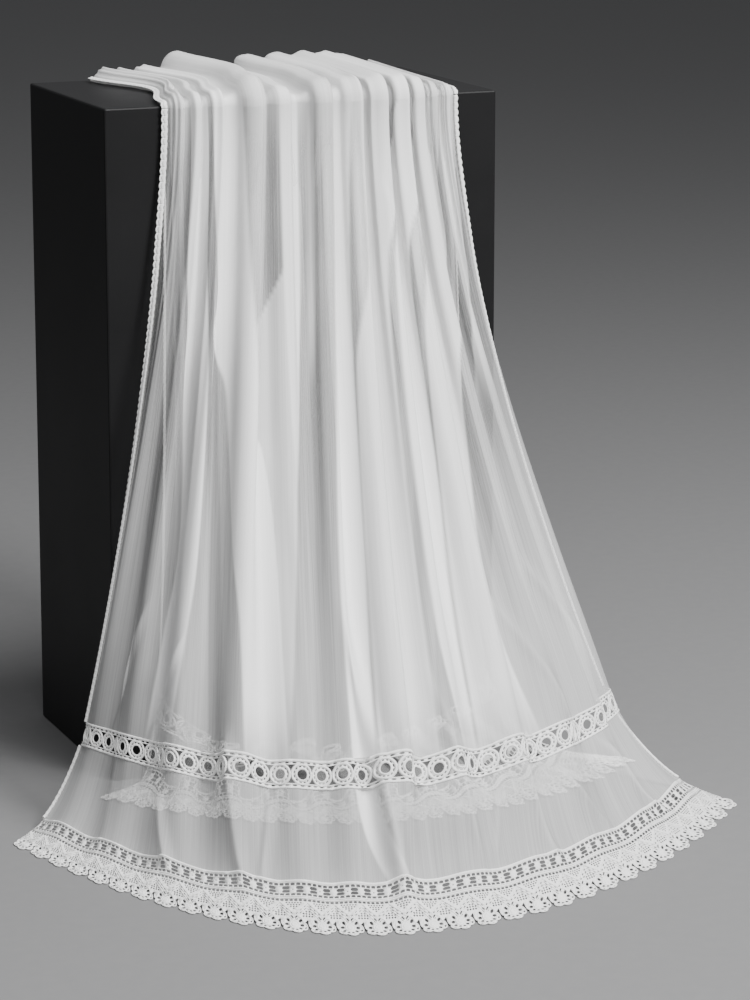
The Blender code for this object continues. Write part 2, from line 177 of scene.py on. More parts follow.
# Plinth
# A box of board with mitred edges, sprayed with satin black lacquer. The packed
# solid has its true shape, so it stays, with its finish
lacquer = Finish("satin black lacquer", (0.006, 0.006, 0.0065), 0.42)
cloudy = lacquer.noise("Object", (9, 9, 9), 4)
peel = lacquer.noise("Object", (900, 900, 900), 2)
lacquer.set(
    lacquer.surface,
    {
        "Base Color": lacquer.colour(cloudy, (0.0100, 0.0100, 0.0104), (0.0150, 0.0150, 0.0155)),
        "Roughness": cloudy * 0.10 + 0.37,
        "Specular IOR Level": 0.10,
    },
)
lacquer.relief(peel, 0.0002, 0.35)
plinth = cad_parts["plinth"]
plinth.data.materials.clear()
plinth.data.materials.append(lacquer.material)

# Drape of the cloth
# One length of chiffon, folded across its middle. The fold lies at the back of the
# plinth, both halves run forward over it in rolled folds and hang from its front edge
PLINTH_EDGE = 0.002
PLINTH_HEIGHT = 0.75
FRONT = -0.135
CLOTH_WIDTH = 1.10
BAND, PANEL, EDGING = 0.030, 0.100, 0.082
CLOTH_WALL, LACE_WALL = 0.0012, 0.0016
LAYERS = 0.0026
NESTED_RUN = 0.11
LIFT = 0.0014 + CLOTH_WALL / 2
LEFT_AT_EDGE, RIGHT_AT_EDGE = -0.162, 0.176
FOLD_AT, FOLD_FLARE, LEFT_BOW = 0.118, 0.016, 0.030
OUTER_HEM = ((-0.400, -0.295), (-0.330, -0.560), (-0.212, -0.920), (0.180, -0.682), (0.376, -0.468))
INNER_HEM = ((-0.270, -0.185), (-0.130, -0.420), (0.130, -0.465), (0.345, -0.290))
EDGE_Z = PLINTH_HEIGHT - PLINTH_EDGE
BAND_ROW = 5
FALL, INNER_FALL = 0.738, 0.745
OUTER_ROWS = (
    # run, z middle, z sides, out middle, out sides
    (0.000, EDGE_Z, EDGE_Z, 0.000, 0.000),
    (0.004, EDGE_Z - 0.004, EDGE_Z - 0.004, 0.000, 0.000),
    (0.157, 0.594, 0.588, 0.077, 0.058),
    (0.332, 0.441, 0.424, 0.234, 0.177),
    (0.526, 0.290, 0.262, 0.448, 0.338),
    (FALL, 0.130, 0.100, 0.740, 0.535),
    (FALL + BAND, 0.106, 0.077, 0.775, 0.570),
    (FALL + BAND + PANEL, 0.030, 0.012, 0.880, 0.795),
    (FALL + BAND + PANEL + 0.050, 0.010, 0.0022, 0.945, 0.915),
    (FALL + BAND + PANEL + 0.072, LACE_WALL / 2, LACE_WALL / 2, 0.984, 0.975),
    (FALL + BAND + PANEL + EDGING, LACE_WALL / 2, LACE_WALL / 2, 1.000, 1.000),
)
INNER_ROWS = (
    (0.000, EDGE_Z, EDGE_Z, 0.000, 0.000),
    (0.004, EDGE_Z - 0.004, EDGE_Z - 0.004, 0.000, 0.000),
    (0.250, 0.500, 0.500, 0.020, 0.030),
    (0.500, 0.252, 0.262, 0.050, 0.080),
    (0.680, 0.074, 0.150, 0.095, 0.140),
    (INNER_FALL, 0.014, 0.100, 0.160, 0.180),
    (INNER_FALL + BAND, 0.003, 0.072, 0.275, 0.215),
    (INNER_FALL + BAND + 0.050, LACE_WALL / 2, 0.030, 0.470, 0.280),
    (INNER_FALL + BAND + PANEL, LACE_WALL / 2, 0.006, 0.670, 0.380),
    (INNER_FALL + BAND + PANEL + 0.030, LACE_WALL / 2, LACE_WALL / 2, 0.790, 0.620),
    (INNER_FALL + BAND + PANEL + EDGING, LACE_WALL / 2, LACE_WALL / 2, 1.000, 1.000),
)
FOLDS = (
    # hem, edge, steep, low, lean
    (0.095, 0.060, 1.26, 0.38, 0.20),
    (0.180, 0.115, 1.28, 0.46, 0.25),
    (0.275, 0.180, 1.28, 0.66, 0.30),
    (0.360, 0.300, 1.38, 0.82, 0.36),
    (0.420, 0.450, 0.72, 0.46, 0.34),
    (0.472, 0.545, 1.38, 0.60, 0.34),
    (0.540, 0.640, 1.40, 1.12, 0.34),
    (0.622, 0.735, 1.40, 0.60, 0.22),
    (0.708, 0.820, 1.44, 0.76, 0.02),
    (0.800, 0.895, 1.40, 0.60, -0.12),
    (0.900, 0.950, 1.30, 0.54, -0.20),
    (1.000, 1.000, 1.05, 0.34, -0.22),
)
FOLD_ENDS = np.array([0.0] + [row[0] for row in FOLDS])
FOLD_MIDDLES = (FOLD_ENDS[1:] + FOLD_ENDS[:-1]) / 2
EDGE_ENDS = np.array([0.0] + [row[1] for row in FOLDS])
STEEP, LOW, LEAN = (np.array([row[i] for row in FOLDS]) for i in (2, 3, 4))
AT_LACE, INNER_WAVE = 0.26, 0.40
INNER_FULLNESS = ((0.11, 0.30, 0.745, 0.870, 0.905, 0.957), (1.90, 1.86, 1.78, 1.74, 1.20, 0.60))
INNER_DEPTH = ((0.11, 0.20, 0.45, 0.745, 0.875, 0.905, 0.957), (0.30, 0.40, 0.72, 0.72, 0.56, 0.34, 0.15))


def eased(at, rows, column):
    """A smooth monotone curve through one column of a table, by its first column."""
    xs = np.array([row[0] for row in rows])
    ys = np.array([row[column] for row in rows])
    slopes = np.diff(ys) / np.diff(xs)
    product = slopes[1:] * slopes[:-1]
    inner = np.where(product > 0, 2 * product / (slopes[1:] + slopes[:-1] + 1e-12), 0.0)
    tangents = np.concatenate([[slopes[0]], inner, [slopes[-1]]])
    at = np.clip(at, xs[0], xs[-1])
    i = np.clip(np.searchsorted(xs, at, side="right") - 1, 0, len(xs) - 2)
    step = xs[i + 1] - xs[i]
    t = (at - xs[i]) / step
    return (
        (1 + 2 * t) * (1 - t) ** 2 * ys[i]
        + t * (1 - t) ** 2 * step * tangents[i]
        + t * t * (3 - 2 * t) * ys[i + 1]
        + t * t * (t - 1) * step * tangents[i + 1]
    )


def curve_through(controls, t):
    """A Bezier curve's plan points at parameters t."""
    degree = len(controls) - 1
    x, y = 0.0, 0.0
    for k, (cx, cy) in enumerate(controls):
        weight = math.comb(degree, k) * t**k * (1 - t) ** (degree - k)
        x, y = x + weight * cx, y + weight * cy
    return x, y


# A fold in section is a meander, which is how a gathered cloth bends
PHASES = np.linspace(0.0, 1.0, 121)
SWINGS = np.linspace(0.0, 2.1, 61)
angles = SWINGS[:, None] * np.sin(2 * math.pi * PHASES)[None]
steps_along = np.cumsum((np.cos(angles[:, 1:]) + np.cos(angles[:, :-1])) / 2, axis=1)
steps_out = np.cumsum((np.sin(angles[:, 1:]) + np.sin(angles[:, :-1])) / 2, axis=1)
ALONG = np.pad(steps_along, ((0, 0), (1, 0))) / steps_along[:, -1:]
OUT = np.pad(steps_out, ((0, 0), (1, 0))) / steps_along[:, -1:]
PEAKS = OUT.max(axis=1)
# Light cloth bulges into rounder folds than its solid: how much more each fold swings
TIGHT = np.array([0.08, 0.20, 0.40, 0.45, 0.12, 0.42, 0.42, 0.46, 0.46, 0.42, 0.30, 0.15])
LEANS_MORE = np.array([0.10, 0.30, 0.50, 0.45, 0.05, 0.30, 0.50, 0.45, 0.40, 0.20, 0.05, 0.00])


def meander(swing, phase):
    """Where the cloth is, along and out from its base."""
    row = swing / SWINGS[-1] * (len(SWINGS) - 1)
    col = phase * (len(PHASES) - 1)
    i = np.clip(row.astype(int), 0, len(SWINGS) - 2)
    j = np.clip(col.astype(int), 0, len(PHASES) - 2)
    a, b = row - i, col - j

    def read(table):
        low = table[i, j] * (1 - b) + table[i, j + 1] * b
        high = table[i + 1, j] * (1 - b) + table[i + 1, j + 1] * b
        return low * (1 - a) + high * a

    return read(ALONG), read(OUT)


def unit(vectors):
    return vectors / np.linalg.norm(vectors, axis=-1, keepdims=True)


def smooth(low, high, at):
    """From 0 to 1 between two values, with soft ends."""
    t = np.clip((at - low) / (high - low), 0, 1)
    return t * t * (3 - 2 * t)


# Listed creases: a soft ridge or trough from one place to another down the fall
CREASES = (
    # share and run where it starts, share and run where it ends, half width, height
    (0.450, 0.560, 0.505, 0.880, 0.010, 0.0120),
    (0.205, 0.780, 0.224, 0.880, 0.008, 0.0065),
    (0.300, 0.700, 0.322, 0.880, 0.008, 0.0060),
    (0.150, 0.560, 0.090, 0.740, 0.006, 0.0030),
    (0.240, 0.600, 0.170, 0.740, 0.005, 0.0030),
    (0.660, 0.740, 0.700, 0.880, 0.009, 0.0070),
    (0.640, 0.760, 0.622, 0.850, 0.006, 0.0040),
    (0.820, 0.760, 0.895, 0.885, 0.010, 0.0065),
    (0.720, 0.770, 0.790, 0.860, 0.006, 0.0035),
    (0.560, 0.640, 0.600, 0.850, 0.007, 0.0045),
    (0.700, 0.560, 0.770, 0.740, 0.006, 0.0032),
    (0.790, 0.500, 0.880, 0.730, 0.007, 0.0030),
    (0.380, 0.420, 0.395, 0.800, 0.012, -0.0040),
    (0.100, 0.300, 0.120, 0.860, 0.010, 0.0030),
    (0.360, 0.770, 0.345, 0.870, 0.006, 0.0035),
    (0.770, 0.280, 0.790, 0.830, 0.012, 0.0040),
)


class Half:
    """One half of the cloth, from the doubled edge at the back to its hem."""

    def __init__(self, hem, rows, lift, creases=(), over=None):
        self.hem, self.rows, self.lift, self.creases, self.over = hem, rows, lift, creases, over
        self.radius = PLINTH_EDGE + lift
        self.bend = self.radius * math.pi / 2
        self.top = FOLD_AT - (FRONT + PLINTH_EDGE)

    def base(self, run, share):
        """The line the folds stand on. run is 0 at the end of the front edge's bend."""
        back = np.clip(-(run + self.bend), 0, None)
        turn = np.clip(-run, 0, self.bend) / self.radius
        edge_share = np.interp(share, FOLD_ENDS, EDGE_ENDS)
        to_fold = np.clip(back / self.top, 0, 1)
        left = LEFT_AT_EDGE + LEFT_BOW * np.sin(math.pi * to_fold) ** 2
        right = RIGHT_AT_EDGE + FOLD_FLARE * to_fold
        x = left + (right - left) * edge_share
        y = FRONT + PLINTH_EDGE + back - self.radius * np.cos(turn)
        z = EDGE_Z + self.radius * np.sin(turn)
        down = np.clip(run, 0, None)
        middle = 1 - (2 * share - 1) ** 2
        out = self.between(down, 3, middle)
        hem_x, hem_y = curve_through(self.hem, share)
        x = np.where(run > 0, x + (hem_x - x) * out, x)
        y = np.where(run > 0, y + (hem_y - y) * out, y)
        z = np.where(run > 0, self.between(down, 1, middle), z)
        line = np.stack([x, y, z], axis=-1)
        if self.over:
            line = line + (self.over.base(run, share) - line) * self.nested(run)[..., None]
        return line

    def between(self, down, column, middle):
        sides = eased(down, self.rows, column + 1)
        return sides + (eased(down, self.rows, column) - sides) * middle

    def swing(self, run, fold):
        """Slope of a fold's sides at a run, in radians."""
        band = self.rows[BAND_ROW][0]
        down = np.clip(run / band, 0, 1)
        if self.over:
            wave = INNER_WAVE * (1 - down**2)
            return wave + (self.over.swing(run, fold) - wave) * self.nested(run)
        swing = LOW[fold] + (STEEP[fold] - LOW[fold]) * (1 - down**2.2)
        to_lace = np.clip((run - band) / (BAND + PANEL), 0, 1)
        swing = swing + (AT_LACE - swing) * to_lace
        return swing * (1 - np.clip((run - band - BAND - PANEL) / (EDGING - 0.020), 0, 1))

    def fullness(self, run, fold):
        """Slope of a fold's sides as the light cloth shows it, and how far it is pressed flat."""
        if self.over:
            own = np.interp(run, *INNER_FULLNESS)
            full, depth = self.over.fullness(run, fold)
            pressed = np.interp(run, *INNER_DEPTH)
            return own + (full - own) * self.nested(run), pressed + (depth - pressed) * self.nested(run)
        swing = self.swing(run, fold)
        full = swing + TIGHT[fold] * (1 - np.clip(run / FALL, 0, 1) ** 1.5)
        flat = np.interp(full, SWINGS, PEAKS)
        return full, np.interp(swing, SWINGS, PEAKS) / np.maximum(flat, 1e-6)

    def nested(self, run):
        """How far the inner half still fills the outer one's folds, from 1 to 0."""
        return 1 - smooth(0, NESTED_RUN, run)

    def crease(self, run, share):
        """Height of the listed creases."""
        height = np.zeros(np.broadcast(run, share).shape)
        for share_0, run_0, share_1, run_1, wide, high in self.creases:
            along = (run - run_0) / (run_1 - run_0)
            centre = share_0 + (share_1 - share_0) * np.clip(along, 0, 1)
            fade = smooth(0, 0.3, along) * (1 - smooth(0.86, 1.2, along))
            height = height + high * fade * np.exp(-(((share - centre) / wide) ** 2))
        return height

    def gathers(self, run, share):
        """Fine uneven ripples where the cloth is drawn together, which open out downwards."""
        drawn = (1 - smooth(-0.05, 0.70, run)) if not self.over else 1.7 * (1 - smooth(0.74, 0.885, run))
        uneven = 2 * math.pi * (share + 0.012 * np.sin(9 * share + 1.0) + 0.006 * np.sin(31 * share))
        ripple = np.sin(47 * uneven) + 0.6 * np.sin(29 * uneven + 2.0) + 0.4 * np.sin(71 * uneven + 4.0)
        return 0.0008 * ripple * drawn

    def surface(self, run, share):
        """The cloth's own points, with its folds."""
        run, share = np.broadcast_arrays(np.asarray(run, float), np.asarray(share, float))
        fold = np.clip(np.searchsorted(FOLD_ENDS, share, side="right") - 1, 0, len(FOLDS) - 1)
        start, end = FOLD_ENDS[fold], FOLD_ENDS[fold + 1]
        full, depth = self.fullness(run, fold)
        along, out = meander(full, (share - start) / (end - start))
        out = out * depth
        span = np.linalg.norm(self.base(run, end) - self.base(run, start), axis=-1)
        rise = out * span
        at = start + along * (end - start)
        tangent, normal = self.axes(run, at)
        more = np.interp(share, FOLD_MIDDLES, LEANS_MORE) * (1 - np.clip(run / FALL, 0, 1) ** 1.5)
        lean = (np.interp(share, FOLD_MIDDLES, LEAN) + more) * rise
        rise = rise + self.crease(run, share) + self.gathers(run, share)
        return self.base(run, at) + tangent * lean[..., None] + normal * rise[..., None]

    def axes(self, run, share):
        """The base's directions along the width and outwards."""
        small = 1e-4
        run = np.minimum(run, self.rows[-1][0] - 2 * small)
        width = self.base(run, np.clip(share + small, 0, 1)) - self.base(run, np.clip(share - small, 0, 1))
        length = self.base(run + small, share) - self.base(run - small, share)
        return unit(width), unit(np.cross(length, width))

    def skin(self, run, share):
        """Points and outward directions of the folded cloth."""
        small = 2e-4
        left, right = np.clip(share - small, 0, 1), np.clip(share + small, 0, 1)
        width = self.surface(run, right) - self.surface(run, left)
        length = self.surface(run + small, share) - self.surface(run - small, share)
        points, normal = self.surface(run, share), unit(np.cross(length, width))
        if self.over:
            depth = LAYERS * np.minimum(1, 2 * self.nested(run))
            points = points - normal * depth[..., None]
        return points, normal

    def place(self, flat):
        """Points over the flat cloth, in metres across, down and above it, put on the drape."""
        x, run, above = np.asarray(flat, float).T
        share = np.clip(x / CLOTH_WIDTH, 0, 1)
        points, normal = self.skin(run, share)
        beside = (x - share * CLOTH_WIDTH)[:, None] * self.axes(run, share)[0]
        return points + beside + normal * above[:, None]


OUTER = Half(OUTER_HEM, OUTER_ROWS, LIFT + LAYERS, CREASES)
INNER = Half(INNER_HEM, INNER_ROWS, LIFT, (), OUTER)

# Chiffon
# Fine crepe yarn in an open plain weave, so the cloth is sheer: one layer lets half of
# the light through, and a fold, where several layers lie together, is nearly white
chiffon = Finish("white chiffon", (0.90, 0.90, 0.895), 0.75)
yarn = chiffon.noise("UV", (1500, 14, 1), 2)
slub = chiffon.noise("UV", (260, 5, 1), 3)
weave = chiffon.noise("UV", (900, 900, 1), 1)
# The per-point cover attribute adds cover for cloth lying in several layers, and also carries painted
# highlights and painted shade
layers_and_painted_light = chiffon.out(chiffon.node("ShaderNodeAttribute", {"attribute_name": "layers_and_painted_light"}), "Fac")
streaks = chiffon.noise("UV", (620, 3, 1), 2, 0.7)
single = (yarn * 0.10 + slub * 0.10 + streaks * 0.22 + weave * 0.06 + 0.155).clamped(0.05, 1)
seen = 1 - (1 - single) * (1 - layers_and_painted_light)
shade = chiffon.colour(streaks, (0.80, 0.80, 0.80), (0.97, 0.97, 0.965))
chiffon.set(
    chiffon.surface, {"Base Color": shade, "Alpha": seen, "Sheen Weight": 0.25, "Sheen Roughness": 0.4}
)
chiffon.relief(yarn * 0.6 + slub * 0.4, 0.0004, 0.3)


def linked(name, points, faces, finish, uvs=None, layers_and_painted_light=None):
    """A smooth mesh object, with its cloth coordinates in metres."""
    mesh = bpy.data.meshes.new(name)
    mesh.from_pydata(np.asarray(points).tolist(), [], faces)
    mesh.update()
    mesh.shade_smooth()
    if uvs is not None:
        corners = np.zeros(len(mesh.loops), dtype=np.int64)
        mesh.loops.foreach_get("vertex_index", corners)
        mesh.uv_layers.new(name="cloth").data.foreach_set("uv", np.asarray(uvs)[corners].ravel())
    if layers_and_painted_light is not None:
        mesh.attributes.new("layers_and_painted_light", "FLOAT", "POINT").data.foreach_set("value", np.asarray(layers_and_painted_light).ravel())
    mesh.materials.append(finish.material)
    made = bpy.data.objects.new(name, mesh)
    bpy.context.scene.collection.objects.link(made)
    return made


def grid_faces(rows, cols):
    return [
        (r * cols + c, (r + 1) * cols + c, (r + 1) * cols + c + 1, r * cols + c + 1)
        for r in range(rows - 1)
        for c in range(cols - 1)
    ]


# Where the folds hold cloth laid flat behind them, which covers more, with a pale line of painted highlight
# along both its edges
TUCKS = (
    # cover, then rows of run, left edge and right edge
    (0.68, (
        (0.00, 0.112, 0.196), (0.18, 0.132, 0.216), (0.31, 0.167, 0.233),
        (0.51, 0.185, 0.242), (0.60, 0.174, 0.237), (0.77, 0.160, 0.222),
    )),
    (0.88, (
        (0.00, 0.208, 0.304), (0.18, 0.232, 0.314), (0.31, 0.280, 0.325),
        (0.36, 0.284, 0.330), (0.38, 0.286, 0.362), (0.51, 0.302, 0.375),
        (0.60, 0.314, 0.378), (0.77, 0.326, 0.382),
    )),
    (0.42, (
        (0.14, 0.406, 0.408), (0.31, 0.338, 0.412), (0.41, 0.338, 0.402),
        (0.51, 0.345, 0.398), (0.74, 0.372, 0.383),
    )),
    (0.70, (
        (0.00, 0.382, 0.421), (0.18, 0.385, 0.420), (0.32, 0.390, 0.412),
        (0.45, 0.396, 0.402),
    )),
    (0.30, (
        (0.00, 0.425, 0.437), (0.18, 0.423, 0.435), (0.32, 0.420, 0.430),
    )),
    (0.92, (
        (0.00, 0.449, 0.502), (0.31, 0.447, 0.491), (0.51, 0.445, 0.488),
        (0.76, 0.452, 0.481), (0.90, 0.497, 0.522),
    )),
    (0.60, (
        (0.00, 0.505, 0.640), (0.18, 0.507, 0.578), (0.31, 0.491, 0.572),
        (0.77, 0.481, 0.565),
    )),
    (0.84, (
        (0.00, 0.656, 0.735), (0.18, 0.580, 0.655), (0.42, 0.575, 0.641),
        (0.61, 0.576, 0.628), (0.77, 0.596, 0.622),
    )),
    (0.66, (
        (0.00, 0.740, 0.835), (0.14, 0.680, 0.825), (0.32, 0.650, 0.745),
        (0.61, 0.628, 0.709), (0.77, 0.622, 0.730),
    )),
    (0.50, (
        (0.00, 0.900, 0.970), (0.18, 0.866, 0.930), (0.36, 0.800, 0.850),
    )),
)
# The inner half is thinned all over: painted shade, for the shadow of the outer half
ON_TOP, HANGING, BEHIND_PAINTED_SHADE = 0.55, -0.24, -0.25
TUCK_EDGE = 0.004
FADE_BEFORE, FADE_AFTER = 0.10, 0.01
# Strength and half width of the pale line of painted highlight along each tuck's edges
EDGE_HIGHLIGHT_COVER, EDGE_HIGHLIGHT_HALF_WIDTH = 0.35, 0.0022


def tucked(run, share):
    """How much more than one layer of cloth lies at a place, with pale lines of painted highlight along the
    tucks' edges and the creases.
    """
    on_top = 1 - smooth(-0.07, 0.03, run)
    hanging = smooth(0.0, 0.06, run) * (1 - smooth(0.25, 0.65, run))
    cover = (ON_TOP * on_top + HANGING * hanging) * np.ones(share.shape)
    for more, edges in TUCKS:
        left, right, last = eased(run, edges, 1), eased(run, edges, 2), edges[-1][0]
        inside = smooth(left, left + TUCK_EDGE, share) * (1 - smooth(right - TUCK_EDGE, right, share))
        fade = 1 - smooth(last - FADE_BEFORE, last + FADE_AFTER, run)
        cover = cover + inside * fade * np.maximum(more - cover, 0)
        # Painted highlight: a pale line just inside each edge of the tuck
        for edge in (left + TUCK_EDGE, right - TUCK_EDGE):
            line = EDGE_HIGHLIGHT_COVER * more * fade * np.exp(-(((share - edge) / EDGE_HIGHLIGHT_HALF_WIDTH) ** 2))
            cover = cover + line * (1 - cover)
    # Along each crease a narrow pale line of painted highlight, drawn as extra cover
    for share_0, run_0, share_1, run_1, wide, high in CREASES:
        along = (run - run_0) / (run_1 - run_0)
        centre = share_0 + (share_1 - share_0) * np.clip(along, 0, 1)
        fade = smooth(0, 0.3, along) * (1 - smooth(0.8, 1.1, along))
        doubled = 30 * abs(high) * fade * np.exp(-(((share - centre) * 2.2 / wide) ** 2))
        cover = cover + doubled * (1 - cover)
    return np.minimum(cover, 0.9)


def stretch(name, half, runs, columns, node):
    """A stretch of plain chiffon that takes the place of its solid."""
    share = np.linspace(0, 1, columns)
    run, share = np.meshgrid(runs, share, indexing="ij")
    points, normal = half.skin(run, share)
    uvs = np.stack([share * CLOTH_WIDTH, run], axis=-1).reshape(-1, 2)
    # The inner half gets less cover everywhere: painted shade
    cover = tucked(run, share) if half is OUTER else np.full(run.shape, BEHIND_PAINTED_SHADE)
    made = linked(name, points.reshape(-1, 3), grid_faces(len(runs), columns), chiffon, uvs, cover)
    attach(made, "root")
    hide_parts(node)
    return made


# Outer fall
# The chiffon from the plinth's front edge to the ring band, in folds that open downwards
outer_runs = np.linspace(0, FALL, 120)
outer_fall = stretch("chiffon_outer_fall", OUTER, outer_runs, 601, "outer_fall")

# Outer panel
# Plain chiffon between the ring band and the lace
PANEL_START = FALL + BAND
panel_runs = np.linspace(PANEL_START, PANEL_START + PANEL, 20)
outer_panel = stretch("chiffon_outer_panel", OUTER, panel_runs, 481, "outer_panel")

# Inner fall and inner panel
# The same two stretches of the half that hangs behind
inner_runs = np.linspace(0, INNER_FALL, 60)
inner_fall = stretch("chiffon_inner_fall", INNER, inner_runs, 481, "inner_fall")
INNER_PANEL_START = INNER_FALL + BAND
inner_panel_runs = np.linspace(INNER_PANEL_START, INNER_PANEL_START + PANEL, 16)
inner_panel = stretch("chiffon_inner_panel", INNER, inner_panel_runs, 241, "inner_panel")

# Top stretch
# Both layers on the plinth, with the doubled edge at the back
TOP_COLUMNS, TOP_ROWS, BEND_ROWS = 361, 24, 8
UNDER_COVER = 0.3
back_runs = np.linspace(-OUTER.bend - OUTER.top, -OUTER.bend, TOP_ROWS)
top_runs = np.concatenate([back_runs, np.linspace(-OUTER.bend, 0, BEND_ROWS)[1:]])
run, share = np.meshgrid(top_runs, np.linspace(0, 1, TOP_COLUMNS), indexing="ij")
over, under = OUTER.skin(run, share)[0], INNER.skin(run, share)[0]
turn = (over[:1] + under[:1]) / 2 + np.array([0, LAYERS / 2, 0])
points = np.concatenate([under[::-1], turn, over])
down = np.concatenate([run[::-1], run[:1] - LAYERS, run - 2 * LAYERS])
uvs = np.stack([np.concatenate([share, share[:1], share]) * CLOTH_WIDTH, down], axis=-1)
covers = [tucked(run[::-1], share) * UNDER_COVER, tucked(run[:1], share[:1]), tucked(run, share)]
faces = grid_faces(2 * len(top_runs) + 1, TOP_COLUMNS)
top_stretch = linked(
    "chiffon_top", points.reshape(-1, 3), faces, chiffon, uvs.reshape(-1, 2), np.concatenate(covers)
)
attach(top_stretch, "root")
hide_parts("top_stretch")

# Ring bands
# Woven in cotton cord: rings with open centres in a row, held between two corded
# edges by small bars
cotton = Finish("white cotton lace", (0.90, 0.90, 0.89), 0.85)
ply = cotton.noise("Object", (2200, 2200, 2200), 2)
lumps = cotton.noise("Object", (300, 300, 300), 3)
cotton.set(cotton.surface, {"Base Color": cotton.colour(ply, (0.88, 0.88, 0.87), (0.97, 0.97, 0.96))})
cotton.relief(ply * 0.5 + lumps * 0.5, 0.0006, 0.6)


def loop(x, y, wide, high, sides=8, turn=0.0):
    """A rounded opening round a middle point."""
    angle = turn + np.arange(sides) * 2 * math.pi / sides
    return [(x + wide * math.cos(a), y + high * math.sin(a)) for a in angle]


def oval(x, y, long, short, direction, sides=6):
    """A rounded opening laid along a direction."""
    across, down = math.cos(direction), math.sin(direction)
    return [(x + u * across - v * down, y + u * down + v * across) for u, v in loop(0, 0, long, short, sides)]


def window(x, y, wide, high):
    """A four-sided opening with its corners cut."""
    cut, low = wide * 0.55, high * 0.5
    right = ((wide, -low), (wide, low), (cut, high))
    left = ((-cut, high), (-wide, low), (-wide, -low), (-cut, -high), (cut, -high))
    return [(x + u, y + v) for u, v in right + left]


def plate(outline, holes):
    """A flat piece inside an outline with its openings left out: points and triangles."""
    flat, loops = [], []
    for edge in [outline] + holes:
        loops.append(list(range(len(flat), len(flat) + len(edge))))
        flat += [Vector(p) for p in edge]
    made = delaunay_2d_cdt(flat, [], loops, 1, 1e-7)
    faces = [tuple(reversed(f)) for f, source in zip(made[2], made[5]) if set(source) == {0}]
    return [(p.x, p.y, 0.0) for p in made[0]], faces


def cord(path, radius, above=0.0, closed=False, sides=6, flat=0.5):
    """A cord along a flat path: points across, down and above the cloth, and faces."""
    path = np.array(path, float)
    above = max(above, radius * flat - 0.0007)
    if closed:
        ahead, behind = np.roll(path, -1, axis=0), np.roll(path, 1, axis=0)
    else:
        ahead, behind = np.vstack([path[1:], path[-1:]]), np.vstack([path[:1], path[:-1]])
    along = unit(ahead - behind)
    side = np.stack([-along[:, 1], along[:, 0]], axis=-1)
    angle = np.arange(sides) * 2 * math.pi / sides
    points = []
    for at, beside in zip(path, side):
        for a in angle:
            x, y = at + beside * radius * math.cos(a)
            points.append((x, y, above + radius * flat * math.sin(a)))
    faces = []
    count = len(path)
    for i in range(count if closed else count - 1):
        for k in range(sides):
            a, b = i * sides + k, i * sides + (k + 1) % sides
            c, d = ((i + 1) % count) * sides + (k + 1) % sides, ((i + 1) % count) * sides + k
            faces.append((a, b, c, d))
    if not closed:
        faces.append(tuple(reversed(range(sides))))
        faces.append(tuple((count - 1) * sides + k for k in range(sides)))
    return points, faces


def joined(parts):
    """Several meshes as one list of points and one of faces."""
    points, faces = [], []
    for part_points, part_faces in parts:
        faces += [tuple(i + len(points) for i in face) for face in part_faces]
        points += list(part_points)
    return points, faces


def repeated(name, part, count, pitch):
    """A flat motif in a row, set side by side and merged where the motifs meet."""
    mesh = bpy.data.meshes.new(name)
    mesh.from_pydata([tuple(p) for p in part[0]], [], part[1])
    motif = bpy.data.objects.new(name, mesh)
    bpy.context.scene.collection.objects.link(motif)
    tree = bpy.data.node_groups.new(name, "GeometryNodeTree")
    ports = tree.interface
    ports.new_socket("Motif", in_out="INPUT", socket_type="NodeSocketGeometry")
    count_input = ports.new_socket("Count", in_out="INPUT", socket_type="NodeSocketInt")
    pitch_input = ports.new_socket("Pitch", in_out="INPUT", socket_type="NodeSocketFloat")
    ports.new_socket("Row", in_out="OUTPUT", socket_type="NodeSocketGeometry")
    start, end = tree.nodes.new("NodeGroupInput"), tree.nodes.new("NodeGroupOutput")
    offset = tree.nodes.new("ShaderNodeCombineXYZ")
    line = tree.nodes.new("GeometryNodeMeshLine")
    copies = tree.nodes.new("GeometryNodeInstanceOnPoints")
    real = tree.nodes.new("GeometryNodeRealizeInstances")
    merge = tree.nodes.new("GeometryNodeMergeByDistance")
    dressed = tree.nodes.new("GeometryNodeSetMaterial")
    merge.inputs["Distance"].default_value = 1e-6
    dressed.inputs["Material"].default_value = cotton.material
    links = (
        (start.outputs["Pitch"], offset.inputs["X"]),
        (offset.outputs[0], line.inputs["Offset"]),
        (start.outputs["Count"], line.inputs["Count"]),
        (line.outputs[0], copies.inputs["Points"]),
        (start.outputs["Motif"], copies.inputs["Instance"]),
        (copies.outputs[0], real.inputs[0]),
        (real.outputs[0], merge.inputs["Geometry"]),
        (merge.outputs[0], dressed.inputs["Geometry"]),
        (dressed.outputs[0], end.inputs["Row"]),
    )
    for source, target in links:
        tree.links.new(source, target)
    row = motif.modifiers.new("row", "NODES")
    row.node_group = tree
    row[count_input.identifier] = count
    row[pitch_input.identifier] = pitch
    shown = motif.evaluated_get(bpy.context.evaluated_depsgraph_get())
    result = bpy.data.meshes.new_from_object(shown)
    bpy.data.objects.remove(motif)
    points = np.zeros(len(result.vertices) * 3)
    result.vertices.foreach_get("co", points)
    faces = [tuple(face.vertices) for face in result.polygons]
    bpy.data.meshes.remove(result)
    return points.reshape(-1, 3), faces


PLATE = 0.0004


